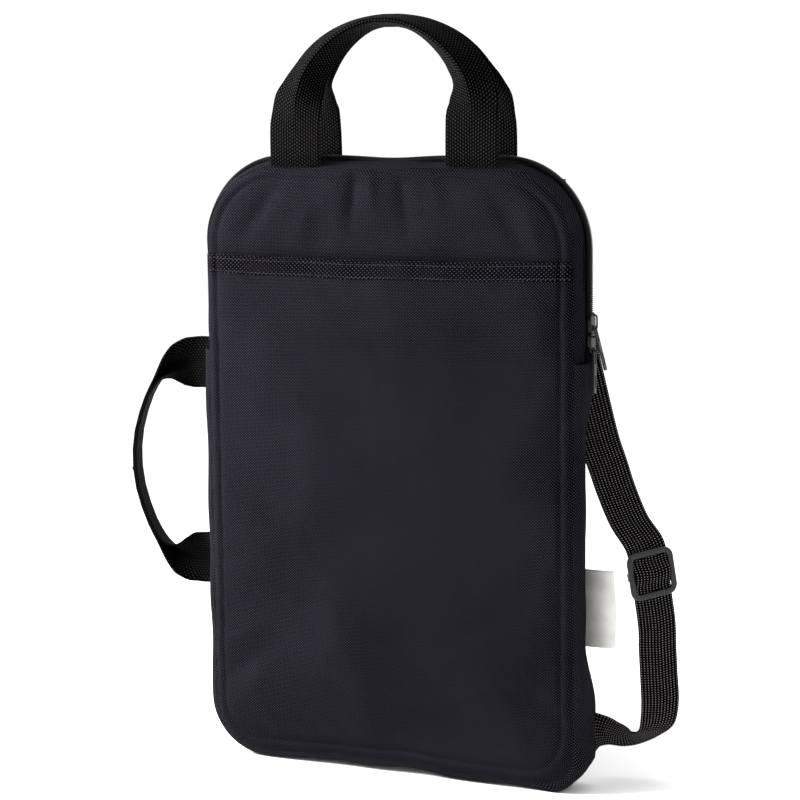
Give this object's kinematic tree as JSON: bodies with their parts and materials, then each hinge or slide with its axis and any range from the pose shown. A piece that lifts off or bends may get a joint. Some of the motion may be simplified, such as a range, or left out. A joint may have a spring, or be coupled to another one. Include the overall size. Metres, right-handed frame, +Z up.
{
  "type": "drum stick bag",
  "caption": "Slim upright soft case for drum sticks, with a zipped folding mouth, a front slip pocket, paired top handles, a side handle and an adjustable shoulder strap.",
  "frame": {"origin": "centre of the base that the bag stands on, below the middle of the body", "axes": "+Z up along the bag's height, -Y out of the front pocket, +X towards the side that carries the zip sliders and the shoulder strap"},
  "size_m": [0.416, 0.0708, 0.5338],
  "materials": {
    "body_fabric": "matte twill",
    "foam": "soft foam",
    "lining": "plain weave",
    "zip_tape": "knitted tape",
    "zip_coil": "satin",
    "binding_tape": "ribbed tape",
    "label_satin": "satin",
    "webbing": "coarse weave",
    "thread": "twisted thread",
    "slider_metal": "satin black",
    "hardware_plastic": "fine matte"
  },
  "bodies": {
    "shell": {"back_panel": "body_fabric", "back_foam": "foam", "back_lining": "lining", "front_panel_lower": "body_fabric", "front_foam_lower": "foam", "front_lining_lower": "lining", "lower_gusset": "body_fabric", "rear_zip_strip": "body_fabric", "rear_zip_tape": "zip_tape", "rear_zip_coil": "zip_coil", "front_zip_strip_lower": "body_fabric", "front_zip_tape_lower": "zip_tape", "front_zip_coil_lower": "zip_coil", "zip_end_tabs": "body_fabric", "pocket_panel": "body_fabric", "pocket_binding": "binding_tape", "stick_sleeves": "lining", "sleeve_binding": "binding_tape", "rear_seam_binding": "binding_tape", "front_seam_binding_lower": "binding_tape", "side_label": "label_satin", "strap_top_tab": "webbing"},
    "front_flap": {"front_panel_upper": "body_fabric", "front_foam_upper": "foam", "front_lining_upper": "lining", "front_zip_strip_upper": "body_fabric", "front_zip_tape_upper": "zip_tape", "front_zip_coil_upper": "zip_coil", "front_seam_binding_upper": "binding_tape"},
    "front_handle": {"front_handle_webbing": "webbing", "front_handle_stitching": "thread"},
    "rear_handle": {"rear_handle_webbing": "webbing", "rear_handle_stitching": "thread"},
    "side_handle": {"side_handle_webbing": "webbing", "side_handle_stitching": "thread"},
    "lower_slider": {"lower_slider_body": "slider_metal", "lower_slider_bridge": "slider_metal"},
    "lower_pull": {"lower_pull_tab": "slider_metal"},
    "upper_slider": {"upper_slider_body": "slider_metal", "upper_slider_bridge": "slider_metal"},
    "upper_pull": {"upper_pull_tab": "slider_metal"},
    "shoulder_strap": {"strap_webbing": "webbing", "strap_loop": "webbing", "strap_bartack": "thread", "strap_ring": "hardware_plastic"},
    "tri_glide": {"tri_glide": "hardware_plastic"}
  },
  "joints": [
    {"name": "flap_fold", "type": "hinge", "parent": "shell", "child": "front_flap", "pos_m": [0, -0.0175, 0.369], "axis": [1, 0, 0], "range_deg": [0, 75]},
    {"name": "front_handle_fold", "type": "hinge", "parent": "front_flap", "child": "front_handle", "pos_m": [0, -0.018, 0.4315], "axis": [1, 0, 0], "range_deg": [0, 110]},
    {"name": "rear_handle_fold", "type": "hinge", "parent": "shell", "child": "rear_handle", "pos_m": [0, 0.018, 0.4315], "axis": [-1, 0, 0], "range_deg": [0, 110]},
    {"name": "side_handle_swing", "type": "hinge", "parent": "shell", "child": "side_handle", "pos_m": [-0.139, 0.018, 0.2122], "axis": [0, 0, 1], "range_deg": [-160, 28]},
    {"name": "lower_slider_run", "type": "slide", "parent": "shell", "child": "lower_slider", "axis": [0, 0, 1], "range_m": [0, 0.012]},
    {"name": "lower_pull_swing", "type": "hinge", "parent": "lower_slider", "child": "lower_pull", "pos_m": [0.1473, 0, 0.309], "axis": [0, -1, 0], "range_deg": [0, 20]},
    {"name": "upper_slider_run", "type": "slide", "parent": "lower_slider", "child": "upper_slider", "axis": [0, 0, 1], "range_m": [0, 0.018]},
    {"name": "upper_pull_swing", "type": "hinge", "parent": "upper_slider", "child": "upper_pull", "pos_m": [0.1473, 0, 0.324], "axis": [0, -1, 0], "range_deg": [0, 150]},
    {"name": "strap_swing", "type": "hinge", "parent": "shell", "child": "shoulder_strap", "pos_m": [0.105, 0.029, 0.392], "axis": [-0.0896, 0.0298, 0.9955], "range_deg": [0, 30], "deforming": ["strap_top_tab"]},
    {"name": "strap_adjust", "type": "slide", "parent": "shoulder_strap", "child": "tri_glide", "axis": [-0.155, -0.0116, 0.9879], "range_m": [-0.014, 0.002]}
  ]
}
